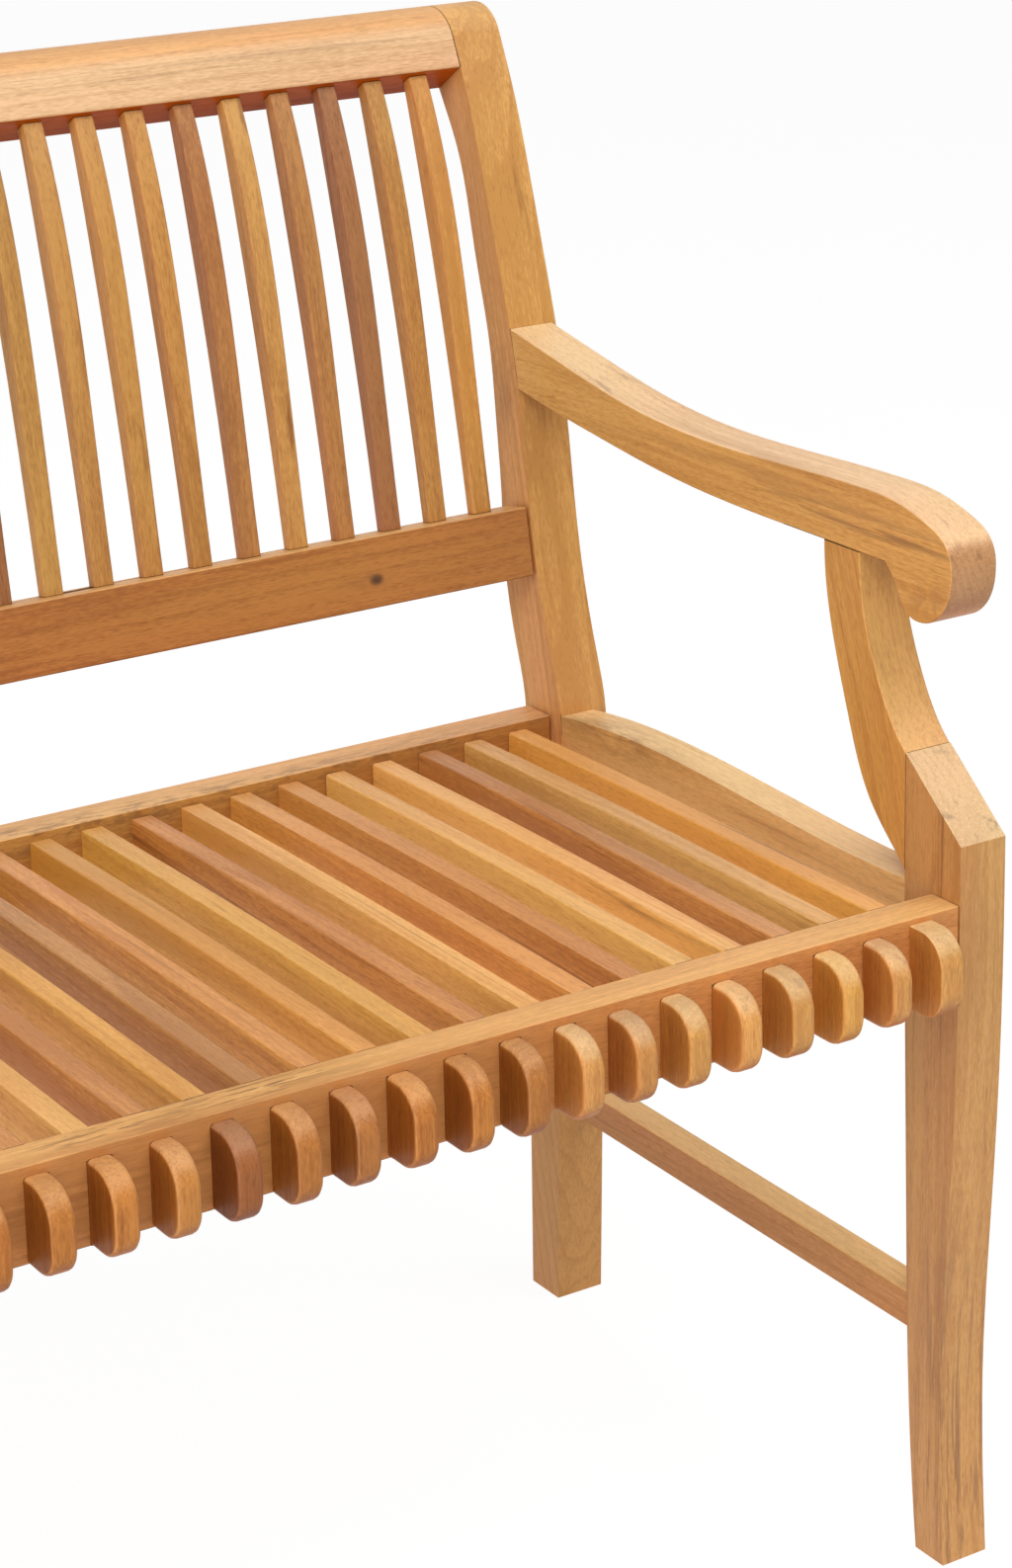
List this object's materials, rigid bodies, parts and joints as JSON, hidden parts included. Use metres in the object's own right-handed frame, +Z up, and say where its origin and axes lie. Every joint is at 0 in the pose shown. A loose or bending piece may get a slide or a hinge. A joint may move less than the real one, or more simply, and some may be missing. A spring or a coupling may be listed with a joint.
{
  "type": "garden bench",
  "caption": "Slatted teak garden bench with curved scroll arms, a leaning slatted back under a rounded crest rail, and a row of rounded blocks along its front seat rail.",
  "frame": {"origin": "on the ground, at the middle of the bench's bounding box bottom", "axes": "+Z up, -Y is the front of the bench, +X is on its right as seen from the front"},
  "size_m": [1.28, 0.614, 0.912],
  "materials": {
    "end_frame_teak": "sanded teak, satin",
    "rail_teak": "sanded teak, satin",
    "slat_teak": "sanded teak, satin",
    "block_teak": "sanded teak, satin",
    "dowel_hardwood": "plain turned hardwood"
  },
  "bodies": {
    "root": {"rear_post_right": "end_frame_teak", "rear_post_left": "end_frame_teak", "front_leg_right": "end_frame_teak", "front_leg_left": "end_frame_teak", "arm_support_right": "end_frame_teak", "arm_support_left": "end_frame_teak", "arm_right": "end_frame_teak", "arm_left": "end_frame_teak", "side_seat_rail_right": "end_frame_teak", "side_seat_rail_left": "end_frame_teak", "side_stretcher_right": "end_frame_teak", "side_stretcher_left": "end_frame_teak", "side_joint_pegs_right": "dowel_hardwood", "side_joint_pegs_left": "dowel_hardwood", "support_dowels_right": "dowel_hardwood", "support_dowels_left": "dowel_hardwood", "arm_dowels_right": "dowel_hardwood", "arm_dowels_left": "dowel_hardwood", "back_joint_pegs": "dowel_hardwood", "crest_rail": "rail_teak", "lower_back_rail": "rail_teak", "rear_seat_rail": "rail_teak", "front_seat_rail": "rail_teak", "back_slats": "slat_teak", "front_rail_blocks": "block_teak", "block_dowels": "dowel_hardwood", "seat_slat_01": "slat_teak", "seat_slat_02": "slat_teak", "seat_slat_03": "slat_teak", "seat_slat_04": "slat_teak", "seat_slat_05": "slat_teak", "seat_slat_06": "slat_teak", "seat_slat_07": "slat_teak", "seat_slat_08": "slat_teak", "seat_slat_09": "slat_teak", "seat_slat_10": "slat_teak", "seat_slat_11": "slat_teak", "seat_slat_12": "slat_teak", "seat_slat_13": "slat_teak", "seat_slat_14": "slat_teak", "seat_slat_15": "slat_teak", "seat_slat_16": "slat_teak", "seat_slat_17": "slat_teak", "seat_slat_18": "slat_teak", "seat_slat_19": "slat_teak", "seat_slat_20": "slat_teak", "seat_slat_21": "slat_teak", "seat_slat_22": "slat_teak", "seat_slat_23": "slat_teak", "seat_slat_24": "slat_teak", "seat_slat_25": "slat_teak", "seat_slat_26": "slat_teak", "seat_slat_27": "slat_teak", "seat_slat_28": "slat_teak", "seat_slat_29": "slat_teak", "seat_slat_30": "slat_teak", "seat_slat_31": "slat_teak", "seat_slat_32": "slat_teak", "seat_slat_33": "slat_teak"}
  },
  "joints": []
}
